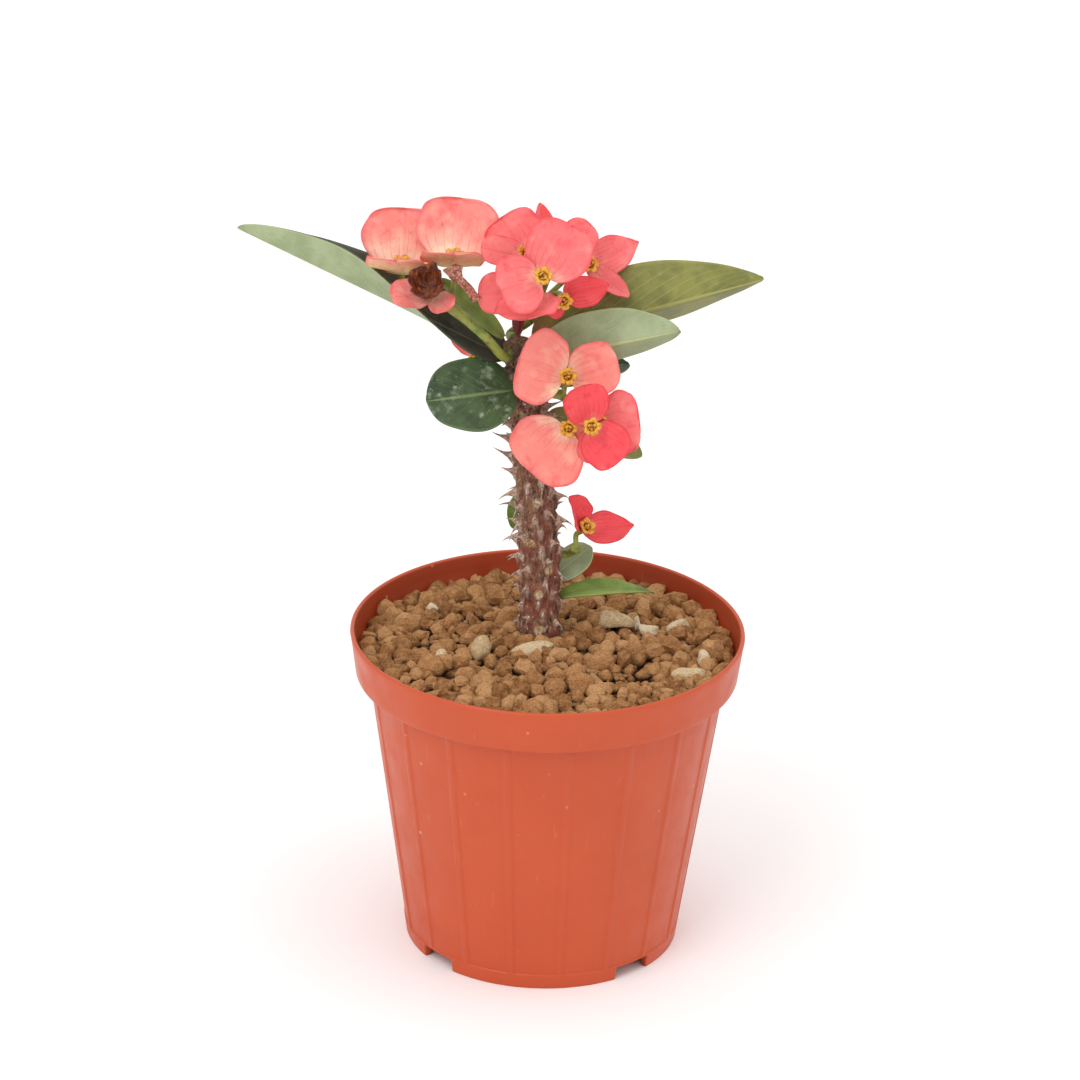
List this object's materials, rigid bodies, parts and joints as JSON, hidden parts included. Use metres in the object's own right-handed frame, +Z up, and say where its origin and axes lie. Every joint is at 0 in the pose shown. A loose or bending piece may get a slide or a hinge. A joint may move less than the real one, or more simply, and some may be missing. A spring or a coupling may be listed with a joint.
{
  "type": "potted euphorbia",
  "caption": "Potted crown of thorns with a spiny stem, broad leaves and coral bracts, standing in granular soil in a ribbed terracotta-coloured nursery pot.",
  "frame": {"origin": "on the pot's axis, on the surface that the pot stands on", "axes": "+Z up along the pot's axis; the plant is seen from -Y with +X to the right"},
  "size_m": [0.1572, 0.12, 0.2376],
  "materials": {
    "pot_plastic": "satin moulded terracotta-orange plastic",
    "soil_granules": "rough brown granules",
    "bark": "rough grey-brown bark with pale thorns",
    "leaf": "dark green above, pale grey-green below",
    "young_leaf": "dark red young leaf",
    "stalk": "smooth green stalk",
    "bract": "coral pink, cream at the base",
    "flower_cup": "glossy yellow glands"
  },
  "bodies": {
    "root": {"crown_shoot": "young_leaf", "cup_front_lower": "flower_cup", "cup_front_right": "flower_cup", "cup_front_upper": "flower_cup", "cup_left_dried": "flower_cup", "cup_left_inner": "flower_cup", "cup_low": "flower_cup", "cup_top_front": "flower_cup", "cup_top_left": "flower_cup", "cup_top_right": "flower_cup", "cut_stub": "bark", "flower_back_bract_1": "bract", "flower_back_bract_2": "bract", "flower_front_back_bract_1": "bract", "flower_front_back_bract_2": "bract", "flower_front_lower_bract_1": "bract", "flower_front_lower_bract_2": "bract", "flower_front_right_bract_1": "bract", "flower_front_right_bract_2": "bract", "flower_front_upper_bract_1": "bract", "flower_front_upper_bract_2": "bract", "flower_left_dried_bract_1": "bract", "flower_left_dried_bract_2": "bract", "flower_left_inner_bract_1": "bract", "flower_left_inner_bract_2": "bract", "flower_left_outer_bract_1": "bract", "flower_left_outer_bract_2": "bract", "flower_low_bract_1": "bract", "flower_low_bract_2": "bract", "flower_top_back_bract_1": "bract", "flower_top_back_bract_2": "bract", "flower_top_front_bract_1": "bract", "flower_top_front_bract_2": "bract", "flower_top_left_bract_1": "bract", "flower_top_left_bract_2": "bract", "flower_top_low_bract_1": "bract", "flower_top_low_bract_2": "bract", "flower_top_right_bract_1": "bract", "flower_top_right_bract_2": "bract", "flower_top_under_bract_1": "bract", "flower_top_under_bract_2": "bract", "leaf_basal_long": "leaf", "leaf_basal_round": "leaf", "leaf_behind_stem": "leaf", "leaf_front_left": "leaf", "leaf_long_left": "leaf", "leaf_right_back": "leaf", "leaf_right_front": "leaf", "leaf_right_middle": "leaf", "leaf_right_small": "leaf", "leaf_young": "leaf", "main_stem": "bark", "peduncle_back": "stalk", "peduncle_front": "stalk", "peduncle_left": "stalk", "peduncle_low": "stalk", "peduncle_top": "stalk", "pot": "pot_plastic", "soil": "soil_granules"}
  },
  "joints": []
}
